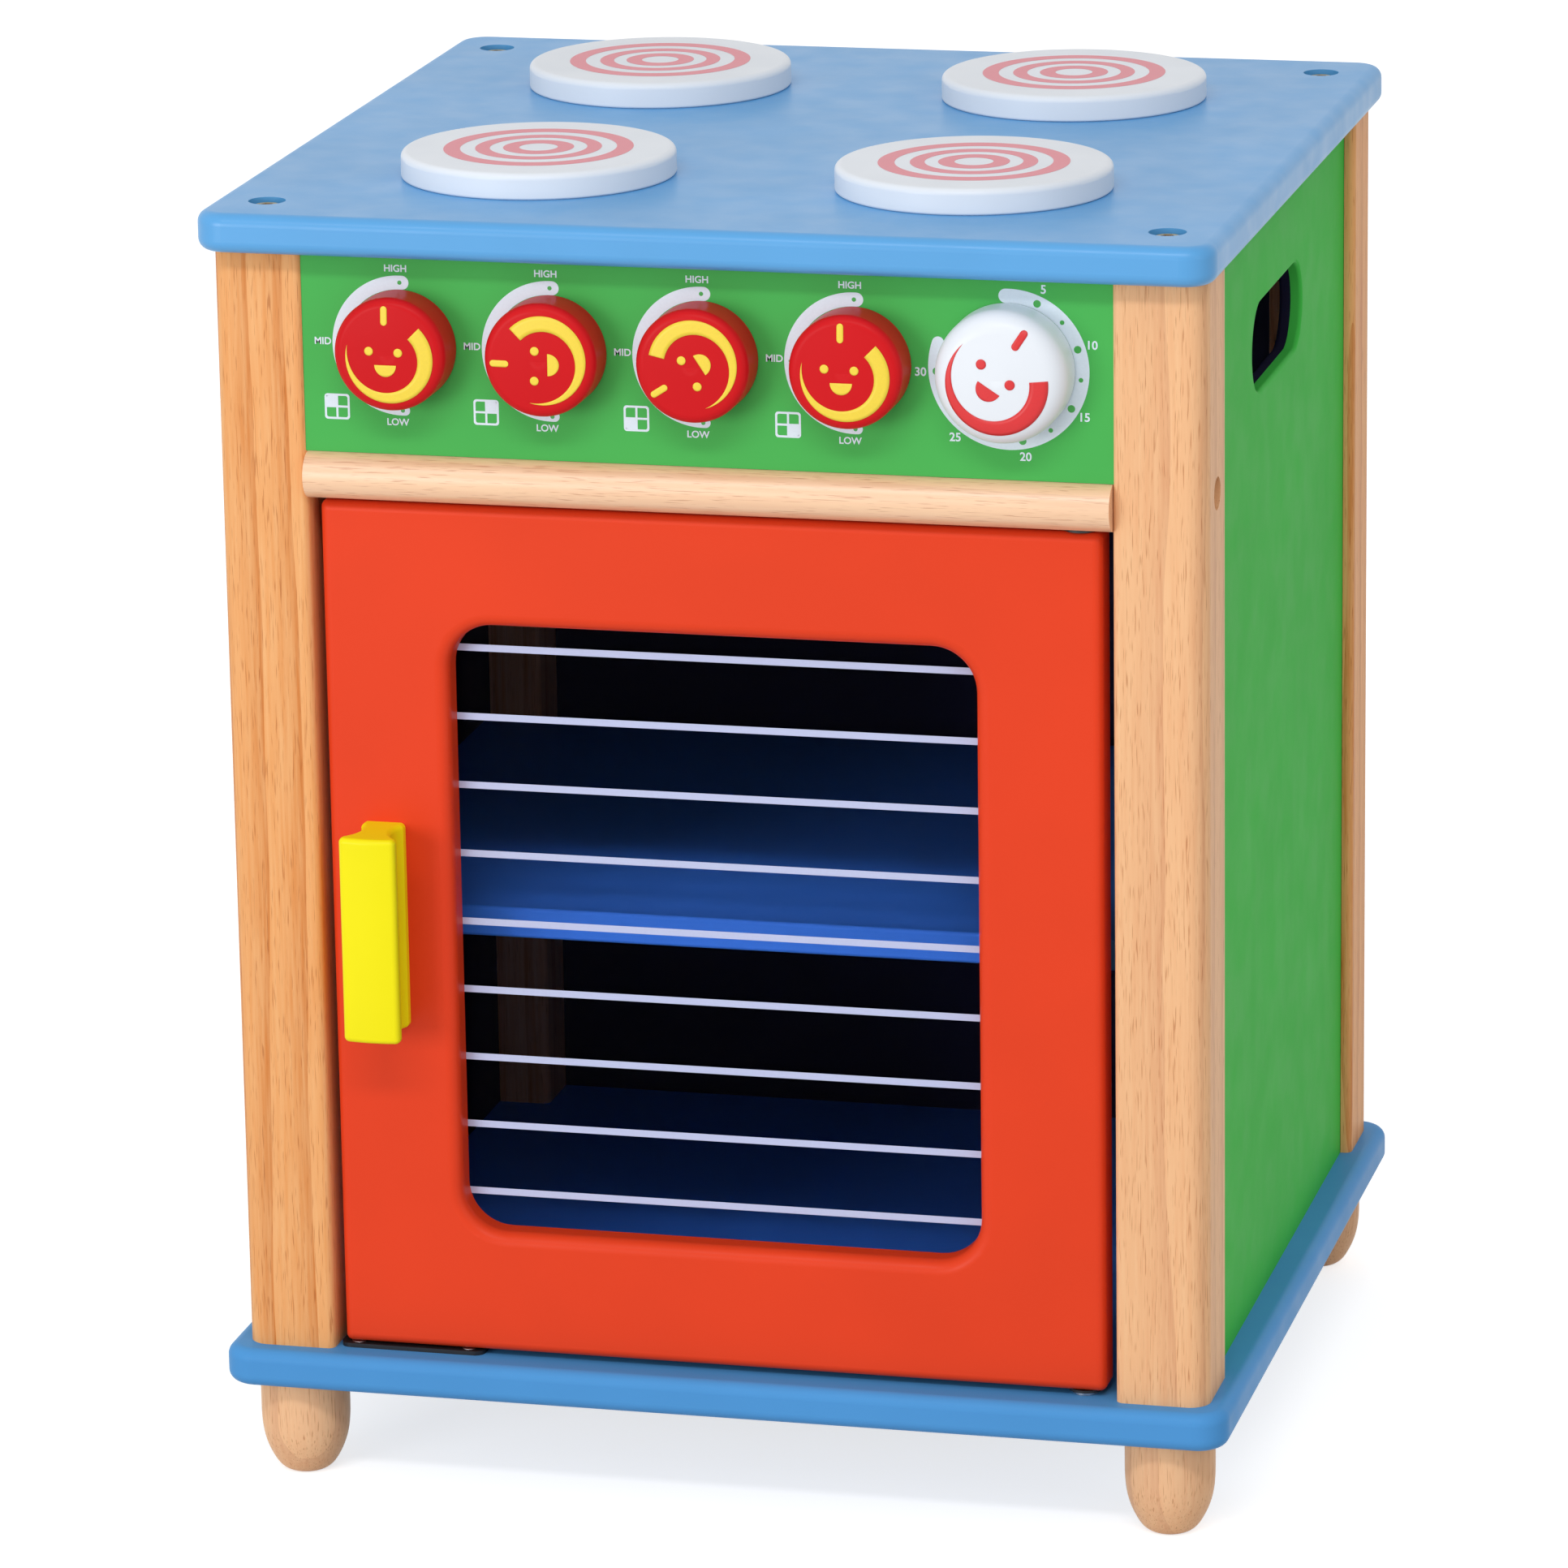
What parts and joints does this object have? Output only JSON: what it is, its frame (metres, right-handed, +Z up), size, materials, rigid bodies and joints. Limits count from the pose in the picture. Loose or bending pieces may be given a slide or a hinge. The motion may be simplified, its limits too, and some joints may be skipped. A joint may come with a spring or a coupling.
{
  "type": "toy oven",
  "caption": "Wooden toy cooker: blue hob with round white hotplates, green control panel with turning smile knobs, red hinged oven door with window, shelf inside.",
  "frame": {"origin": "on the floor under the middle of the overall box", "axes": "+X to the viewer's right, +Y from the door to the back, +Z up"},
  "size_m": [0.392, 0.384, 0.51],
  "materials": {
    "blue_paint": "satin paint on fibreboard",
    "green_paint": "satin paint on fibreboard",
    "red_paint": "satin paint on fibreboard",
    "navy_paint": "dark matt paint on fibreboard",
    "white_paint": "satin white paint on turned wood",
    "red_knob_paint": "gloss red paint on turned wood",
    "yellow_paint": "gloss yellow paint on moulded wood",
    "natural_wood": "clear satin lacquer on hardwood",
    "clear_acrylic": "clear polished sheet",
    "steel": "bright zinc plate",
    "brass_plate": "yellow zinc plate",
    "black_plastic": "moulded black plastic",
    "nylon": "natural nylon",
    "ferrite": "sintered ferrite, bare"
  },
  "bodies": {
    "cabinet": {"top_board": "blue_paint", "base_board": "blue_paint", "oven_shelf": "blue_paint", "post_front_left": "natural_wood", "foot_front_left": "natural_wood", "hotplate_front_left": "white_paint", "foot_stud_front_left": "steel", "top_bolt_front_left": "brass_plate", "shelf_pin_front_left": "steel", "post_front_right": "natural_wood", "foot_front_right": "natural_wood", "hotplate_front_right": "white_paint", "foot_stud_front_right": "steel", "top_bolt_front_right": "brass_plate", "shelf_pin_front_right": "steel", "post_rear_left": "natural_wood", "foot_rear_left": "natural_wood", "hotplate_rear_left": "white_paint", "foot_stud_rear_left": "steel", "top_bolt_rear_left": "brass_plate", "shelf_pin_rear_left": "steel", "post_rear_right": "natural_wood", "foot_rear_right": "natural_wood", "hotplate_rear_right": "white_paint", "foot_stud_rear_right": "steel", "top_bolt_rear_right": "brass_plate", "shelf_pin_rear_right": "steel", "front_rail": "natural_wood", "side_panel_left": "green_paint", "rail_bolt_left": "brass_plate", "side_panel_right": "green_paint", "rail_bolt_right": "brass_plate", "control_panel": "green_paint", "back_panel": "navy_paint", "catch_body": "black_plastic", "catch_magnet": "ferrite", "pole_plate_lower": "steel", "pole_plate_upper": "steel", "hinge_pin_bottom": "steel", "hinge_pin_top": "steel"},
    "door": {"door_panel": "red_paint", "door_window": "clear_acrylic", "handle": "yellow_paint", "handle_screw_lower": "steel", "handle_screw_upper": "steel", "hinge_bush_bottom": "nylon", "hinge_bush_top": "nylon", "strike_plate": "steel"},
    "burner_1": {"knob_1": "red_knob_paint", "knob_1_retainer": "steel"},
    "burner_2": {"knob_2": "red_knob_paint", "knob_2_retainer": "steel"},
    "burner_3": {"knob_3": "red_knob_paint", "knob_3_retainer": "steel"},
    "burner_4": {"knob_4": "red_knob_paint", "knob_4_retainer": "steel"},
    "timer": {"timer_knob": "white_paint", "timer_knob_retainer": "steel"}
  },
  "joints": [
    {"name": "door_hinge", "type": "hinge", "parent": "cabinet", "child": "door", "pos_m": [0.1395, -0.1585, 0.2234], "axis": [0, 0, 1], "range_deg": [0, 110]},
    {"name": "burner_1_turn", "type": "hinge", "parent": "cabinet", "child": "burner_1", "pos_m": [-0.1154, -0.1675, 0.4503], "axis": [0, 1, 0], "continuous": true},
    {"name": "burner_2_turn", "type": "hinge", "parent": "cabinet", "child": "burner_2", "pos_m": [-0.0579, -0.1675, 0.4503], "axis": [0, 1, 0], "continuous": true},
    {"name": "burner_3_turn", "type": "hinge", "parent": "cabinet", "child": "burner_3", "pos_m": [-0.0004, -0.1675, 0.4503], "axis": [0, 1, 0], "continuous": true},
    {"name": "burner_4_turn", "type": "hinge", "parent": "cabinet", "child": "burner_4", "pos_m": [0.0571, -0.1675, 0.4503], "axis": [0, 1, 0], "continuous": true},
    {"name": "timer_turn", "type": "hinge", "parent": "cabinet", "child": "timer", "pos_m": [0.1146, -0.1675, 0.4503], "axis": [0, 1, 0], "continuous": true}
  ]
}
